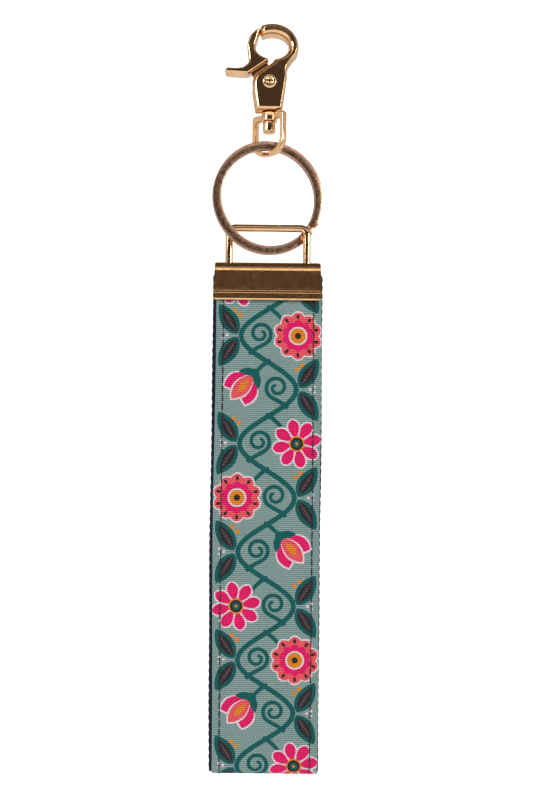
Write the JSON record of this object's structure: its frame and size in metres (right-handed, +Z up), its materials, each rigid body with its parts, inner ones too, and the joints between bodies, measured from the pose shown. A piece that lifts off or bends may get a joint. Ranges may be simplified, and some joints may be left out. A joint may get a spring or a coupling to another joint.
{
  "type": "wristlet keychain",
  "caption": "Wristlet key holder: trigger snap clasp with swivel bail, split ring, wire loop and folded metal clamp on a printed ribbon-and-webbing wrist strap.",
  "frame": {"origin": "the crown of the hook's eye, on its inside, where the clasp hangs from whatever it is clipped to", "axes": "+Z up along the hanging strap towards the clasp, -Y out of the strap's front face, X across the strap's width"},
  "size_m": [0.0324, 0.0106, 0.2176],
  "materials": {
    "light_gold": "polished light-gold plating over a zinc casting, small speckles and softened edges",
    "clamp_gold": "polished light-gold plating over formed steel sheet",
    "brushed_bronze": "brushed bronze-gold plating over flat steel wire, bright rims",
    "spring_steel": "drawn spring wire",
    "navy_webbing": "woven navy webbing with bumpy selvedges",
    "printed_ribbon": "ribbed woven ribbon, sage ground with a teal, pink, coral, orange, white and black floral print",
    "black_thread": "twisted sewing thread"
  },
  "bodies": {
    "clasp": {"hook_body": "light_gold", "pivot_rivet": "light_gold", "lever_spring": "spring_steel", "swivel_stem": "light_gold"},
    "lever": {"trigger_lever": "light_gold"},
    "bail": {"swivel_bail": "light_gold"},
    "ring": {"split_ring": "brushed_bronze"},
    "loop": {"wire_loop": "light_gold"},
    "clamp": {"strap_clamp": "clamp_gold", "webbing_end_front": "navy_webbing", "webbing_end_back": "navy_webbing", "ribbon_end_front": "printed_ribbon", "ribbon_end_back": "printed_ribbon"},
    "strap": {"webbing_loop": "navy_webbing", "printed_ribbon": "printed_ribbon", "needle_thread_left": "black_thread", "needle_thread_right": "black_thread", "bobbin_thread_left": "black_thread", "bobbin_thread_right": "black_thread"}
  },
  "joints": [
    {"name": "lever_pivot", "type": "hinge", "parent": "clasp", "child": "lever", "pos_m": [0, 0, -0.01365], "axis": [0, -1, 0], "range_deg": [0, 25], "stiffness_Nm_per_rad": 0.02, "springref_deg": -20.05},
    {"name": "bail_swivel", "type": "hinge", "parent": "clasp", "child": "bail", "pos_m": [0, 0, -0.02475], "axis": [0, 0, 1], "continuous": true},
    {"name": "ring_swing", "type": "hinge", "parent": "bail", "child": "ring", "pos_m": [0, 0, -0.0318], "axis": [0.9768, 0.2141, 0], "range_deg": [-60, 60]},
    {"name": "loop_slide", "type": "hinge", "parent": "ring", "child": "loop", "pos_m": [0, 0, -0.04695], "axis": [-0.2141, 0.9768, 0], "range_deg": [-90, 90]},
    {"name": "clamp_swing", "type": "hinge", "parent": "loop", "child": "clamp", "pos_m": [0, 0, -0.06785], "axis": [1, 0, 0], "range_deg": [-30, 30]},
    {"name": "strap_flex", "type": "hinge", "parent": "clamp", "child": "strap", "pos_m": [0, 0, -0.07955], "axis": [1, 0, 0], "range_deg": [-60, 60]}
  ]
}
